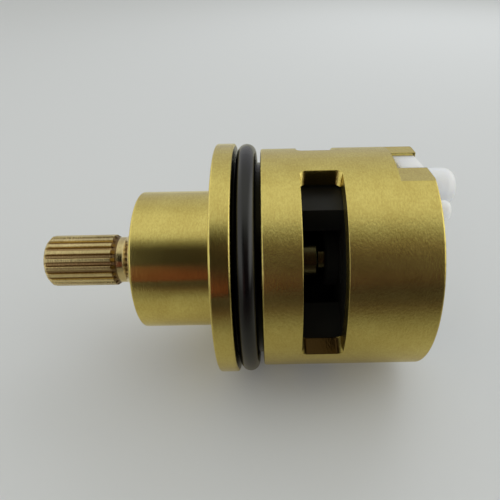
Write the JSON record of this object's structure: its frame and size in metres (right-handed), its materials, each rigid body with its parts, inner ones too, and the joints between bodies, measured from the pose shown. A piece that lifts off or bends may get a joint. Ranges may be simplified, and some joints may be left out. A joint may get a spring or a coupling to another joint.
{
  "type": "diverter cartridge",
  "caption": "Brass diverter cartridge with a splined spindle, a flanged and ported barrel with an O-ring, a moulded driver, ceramic discs and a pegged base with ports.",
  "frame": {"origin": "on the cartridge's axis, in the plane of the flange face that seats on the valve body", "axes": "+X along the axis towards the base and its ports, with the spindle towards -X; +Z towards the bar between two windows that is nearest the base's lug"},
  "size_m": [0.0629, 0.0358, 0.0358],
  "materials": {
    "turned_brass": "fine turned, satin",
    "spindle_brass": "turned and rolled, satin",
    "black_rubber": "moulded nitrile, semi-matt",
    "steel": "ground",
    "slip_plastic": "low-friction, matt white",
    "black_plastic": "moulded acetal, semi-matt",
    "ceramic": "lapped alumina, opaque",
    "seal_silicone": "moulded silicone, translucent white",
    "white_plastic": "moulded acetal, semi-gloss white"
  },
  "bodies": {
    "root": {"housing": "turned_brass", "body_o_ring": "black_rubber", "shoulder_slip_ring": "slip_plastic", "stop_pin": "steel", "driver_slip_ring": "slip_plastic", "fixed_disc": "ceramic", "disc_seal_1": "seal_silicone", "disc_seal_2": "seal_silicone", "disc_seal_3": "seal_silicone", "base_plate": "white_plastic", "port_seal_1": "seal_silicone", "port_seal_2": "seal_silicone", "port_seal_3": "seal_silicone"},
    "rotor": {"spindle": "spindle_brass", "spindle_o_ring_outer": "black_rubber", "spindle_o_ring_inner": "black_rubber", "shoulder_washer": "steel", "driver": "black_plastic", "disc_load_ring": "black_rubber", "moving_disc": "ceramic"}
  },
  "joints": [
    {"name": "spindle_turn", "type": "hinge", "parent": "root", "child": "rotor", "pos_m": [0, 0, 0], "axis": [1, 0, 0], "range_deg": [0, 250]}
  ]
}
